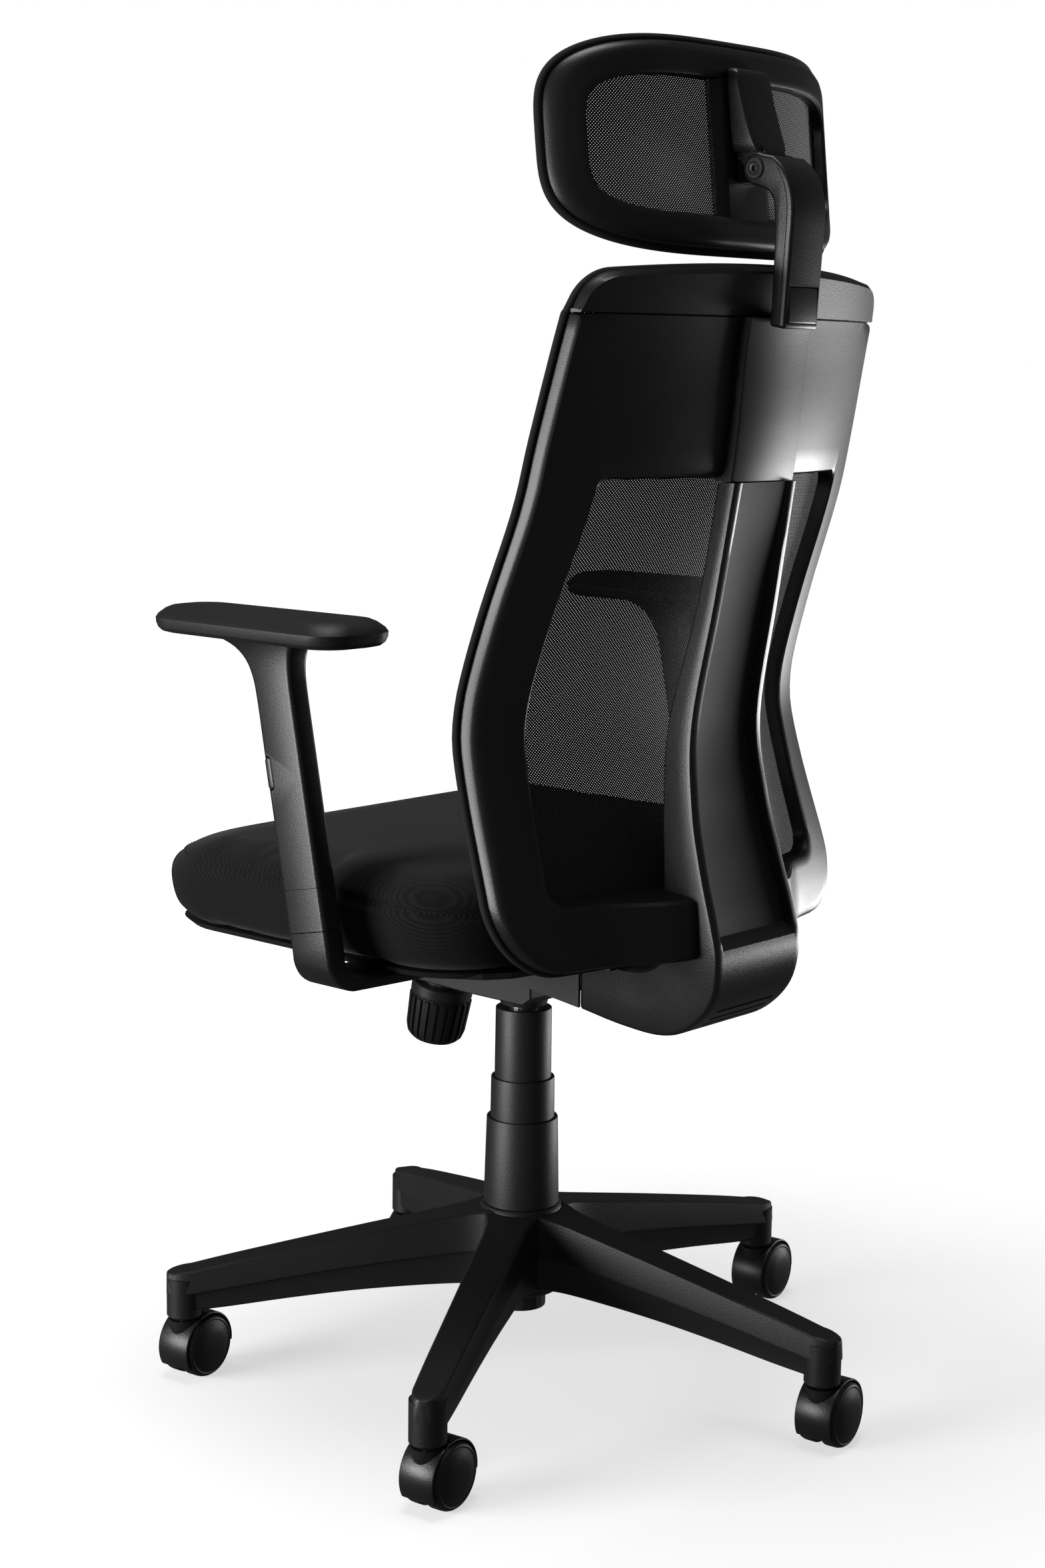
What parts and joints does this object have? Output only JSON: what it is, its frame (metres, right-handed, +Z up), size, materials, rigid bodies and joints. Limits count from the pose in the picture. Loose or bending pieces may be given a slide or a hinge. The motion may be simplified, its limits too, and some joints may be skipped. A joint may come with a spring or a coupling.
{
  "type": "swivel office chair",
  "caption": "Swivel office chair with a fabric seat, a curved mesh back on a bent spine, a tilting mesh headrest, height adjustable armrests and a caster base.",
  "frame": {"origin": "centre of the chair's footprint on the floor, under the middle of its bounding box", "axes": "+Z up; the sitter faces -Y; the sitter's left arm is at +X"},
  "size_m": [0.6844, 0.6482, 1.2181],
  "materials": {
    "nylon": "black glass filled nylon, satin with a fine grain",
    "plastic": "black satin plastic with a fine grain",
    "tread": "black satin caster wheel",
    "steel": "plain steel",
    "black_steel": "black powder coat",
    "fabric": "black ribbed upholstery fabric",
    "mesh": "black knitted mesh with small round holes",
    "foam_pad": "soft black moulded pad"
  },
  "bodies": {
    "base": {"star_base": "nylon", "gas_cylinder": "black_steel", "cover_lower": "nylon"},
    "caster_1": {"caster_1_stem": "steel", "caster_1_hood": "plastic"},
    "caster_1_wheel_outer": {"caster_1_wheel_outer": "tread"},
    "caster_1_wheel_inner": {"caster_1_wheel_inner": "tread"},
    "caster_2": {"caster_2_stem": "steel", "caster_2_hood": "plastic"},
    "caster_2_wheel_outer": {"caster_2_wheel_outer": "tread"},
    "caster_2_wheel_inner": {"caster_2_wheel_inner": "tread"},
    "caster_3": {"caster_3_stem": "steel", "caster_3_hood": "plastic"},
    "caster_3_wheel_outer": {"caster_3_wheel_outer": "tread"},
    "caster_3_wheel_inner": {"caster_3_wheel_inner": "tread"},
    "caster_4": {"caster_4_stem": "steel", "caster_4_hood": "plastic"},
    "caster_4_wheel_outer": {"caster_4_wheel_outer": "tread"},
    "caster_4_wheel_inner": {"caster_4_wheel_inner": "tread"},
    "caster_5": {"caster_5_stem": "steel", "caster_5_hood": "plastic"},
    "caster_5_wheel_outer": {"caster_5_wheel_outer": "tread"},
    "caster_5_wheel_inner": {"caster_5_wheel_inner": "tread"},
    "column_middle": {"cover_middle": "nylon"},
    "column_lift": {"gas_rod": "steel", "cover_upper": "nylon"},
    "valve": {"valve_button": "steel"},
    "mechanism": {"mech_housing": "black_steel", "tilt_pin": "steel", "tension_spring": "steel"},
    "knob": {"tension_knob": "plastic", "tension_bolt": "steel"},
    "lever": {"height_lever": "steel", "lever_paddle": "plastic"},
    "tilt": {"mech_plate": "black_steel", "seat_pan": "plastic", "seat_cushion": "fabric", "spine": "plastic", "back_frame": "plastic", "back_cap": "plastic", "back_mesh": "mesh", "arm_bracket_left": "plastic", "arm_bracket_right": "plastic", "arm_post_left": "plastic", "arm_post_right": "plastic"},
    "arm_left": {"arm_sleeve_left": "plastic", "arm_pad_left": "foam_pad"},
    "arm_button_left": {"arm_button_left": "plastic"},
    "arm_right": {"arm_sleeve_right": "plastic", "arm_pad_right": "foam_pad"},
    "arm_button_right": {"arm_button_right": "plastic"},
    "headrest_post": {"headrest_post": "plastic", "headrest_screw": "steel"},
    "post_button": {"post_button": "plastic"},
    "headrest": {"headrest_bracket": "plastic", "headrest_frame": "plastic", "headrest_mesh": "mesh"}
  },
  "joints": [
    {"name": "caster_1_swivel", "type": "hinge", "parent": "base", "child": "caster_1", "pos_m": [0.30431, 0.13633, 0.05], "axis": [0, 0, 1], "continuous": true},
    {"name": "caster_1_wheel_outer_spin", "type": "hinge", "parent": "caster_1", "child": "caster_1_wheel_outer", "pos_m": [0.28892, 0.13452, 0.03], "axis": [0.1167, -0.9932, 0], "continuous": true},
    {"name": "caster_1_wheel_inner_spin", "type": "hinge", "parent": "caster_1", "child": "caster_1_wheel_inner", "pos_m": [0.28892, 0.13452, 0.03], "axis": [0.1167, -0.9932, 0], "continuous": true},
    {"name": "caster_2_swivel", "type": "hinge", "parent": "base", "child": "caster_2", "pos_m": [-0.03053, 0.30255, 0.05], "axis": [0, 0, 1], "continuous": true},
    {"name": "caster_2_wheel_outer_spin", "type": "hinge", "parent": "caster_2", "child": "caster_2_wheel_outer", "pos_m": [-0.04593, 0.30074, 0.03], "axis": [0.1167, -0.9932, 0], "continuous": true},
    {"name": "caster_2_wheel_inner_spin", "type": "hinge", "parent": "caster_2", "child": "caster_2_wheel_inner", "pos_m": [-0.04593, 0.30074, 0.03], "axis": [0.1167, -0.9932, 0], "continuous": true},
    {"name": "caster_3_swivel", "type": "hinge", "parent": "base", "child": "caster_3", "pos_m": [-0.29209, 0.03545, 0.05], "axis": [0, 0, 1], "continuous": true},
    {"name": "caster_3_wheel_outer_spin", "type": "hinge", "parent": "caster_3", "child": "caster_3_wheel_outer", "pos_m": [-0.30748, 0.03365, 0.03], "axis": [0.1167, -0.9932, 0], "continuous": true},
    {"name": "caster_3_wheel_inner_spin", "type": "hinge", "parent": "caster_3", "child": "caster_3_wheel_inner", "pos_m": [-0.30748, 0.03365, 0.03], "axis": [0.1167, -0.9932, 0], "continuous": true},
    {"name": "caster_4_swivel", "type": "hinge", "parent": "base", "child": "caster_4", "pos_m": [-0.11889, -0.29584, 0.05], "axis": [0, 0, 1], "continuous": true},
    {"name": "caster_4_wheel_outer_spin", "type": "hinge", "parent": "caster_4", "child": "caster_4_wheel_outer", "pos_m": [-0.13429, -0.29764, 0.03], "axis": [0.1167, -0.9932, 0], "continuous": true},
    {"name": "caster_4_wheel_inner_spin", "type": "hinge", "parent": "caster_4", "child": "caster_4_wheel_inner", "pos_m": [-0.13429, -0.29764, 0.03], "axis": [0.1167, -0.9932, 0], "continuous": true},
    {"name": "caster_5_swivel", "type": "hinge", "parent": "base", "child": "caster_5", "pos_m": [0.2497, -0.23349, 0.05], "axis": [0, 0, 1], "continuous": true},
    {"name": "caster_5_wheel_outer_spin", "type": "hinge", "parent": "caster_5", "child": "caster_5_wheel_outer", "pos_m": [0.23431, -0.2353, 0.03], "axis": [0.1167, -0.9932, 0], "continuous": true},
    {"name": "caster_5_wheel_inner_spin", "type": "hinge", "parent": "caster_5", "child": "caster_5_wheel_inner", "pos_m": [0.23431, -0.2353, 0.03], "axis": [0.1167, -0.9932, 0], "continuous": true},
    {"name": "column_lift", "type": "slide", "parent": "base", "child": "column_lift", "axis": [0, 0, 1], "range_m": [-0.085, 0]},
    {"name": "cover_follow", "type": "slide", "parent": "base", "child": "column_middle", "axis": [0, 0, 1], "range_m": [-0.0425, 0]},
    {"name": "seat_swivel", "type": "hinge", "parent": "column_lift", "child": "mechanism", "pos_m": [0.0225, -0.011, 0.38], "axis": [0, 0, 1], "continuous": true},
    {"name": "tension_knob_turn", "type": "hinge", "parent": "mechanism", "child": "knob", "pos_m": [0.0225, -0.1145, 0.367], "axis": [0, 0.2079, 0.9781], "range_deg": [0, 1440]},
    {"name": "lever_lift", "type": "hinge", "parent": "mechanism", "child": "lever", "pos_m": [-0.024, -0.046, 0.386], "axis": [0, 1, 0], "range_deg": [0, 4.58], "stiffness_Nm_per_rad": 6, "springref_deg": -8.59},
    {"name": "valve_press", "type": "slide", "parent": "column_lift", "child": "valve", "axis": [0, 0, 1], "range_m": [-0.004, 0]},
    {"name": "seat_tilt", "type": "hinge", "parent": "mechanism", "child": "tilt", "pos_m": [0.0225, -0.046, 0.412], "axis": [-1, 0, 0], "range_deg": [0, 16], "stiffness_Nm_per_rad": 160, "springref_deg": -34.38},
    {"name": "arm_left_height", "type": "slide", "parent": "tilt", "child": "arm_left", "axis": [0, -0.2011, 0.9796], "range_m": [0, 0.07]},
    {"name": "arm_left_button", "type": "slide", "parent": "arm_left", "child": "arm_button_left", "axis": [-1, 0, 0], "range_m": [0, 0.0025], "stiffness_N_per_m": 400, "springref_m": -0.002},
    {"name": "arm_right_height", "type": "slide", "parent": "tilt", "child": "arm_right", "axis": [0, -0.2011, 0.9796], "range_m": [0, 0.07]},
    {"name": "arm_right_button", "type": "slide", "parent": "arm_right", "child": "arm_button_right", "axis": [1, 0, 0], "range_m": [0, 0.0025], "stiffness_N_per_m": 400, "springref_m": -0.002},
    {"name": "headrest_height", "type": "slide", "parent": "tilt", "child": "headrest_post", "axis": [0, 0, 1], "range_m": [0, 0.05]},
    {"name": "post_button_press", "type": "slide", "parent": "headrest_post", "child": "post_button", "axis": [0, -1, 0], "range_m": [0, 0.003], "stiffness_N_per_m": 400, "springref_m": -0.002},
    {"name": "headrest_tilt", "type": "hinge", "parent": "headrest_post", "child": "headrest", "pos_m": [0.0225, 0.2483, 1.1148], "axis": [1, 0, 0], "range_deg": [-20, 17]}
  ],
  "couplings": [
    {"joint": "cover_follow", "follows": "column_lift", "ratio": 0.5},
    {"joint": "valve_press", "follows": "lever_lift", "m_per_rad": -0.05}
  ]
}
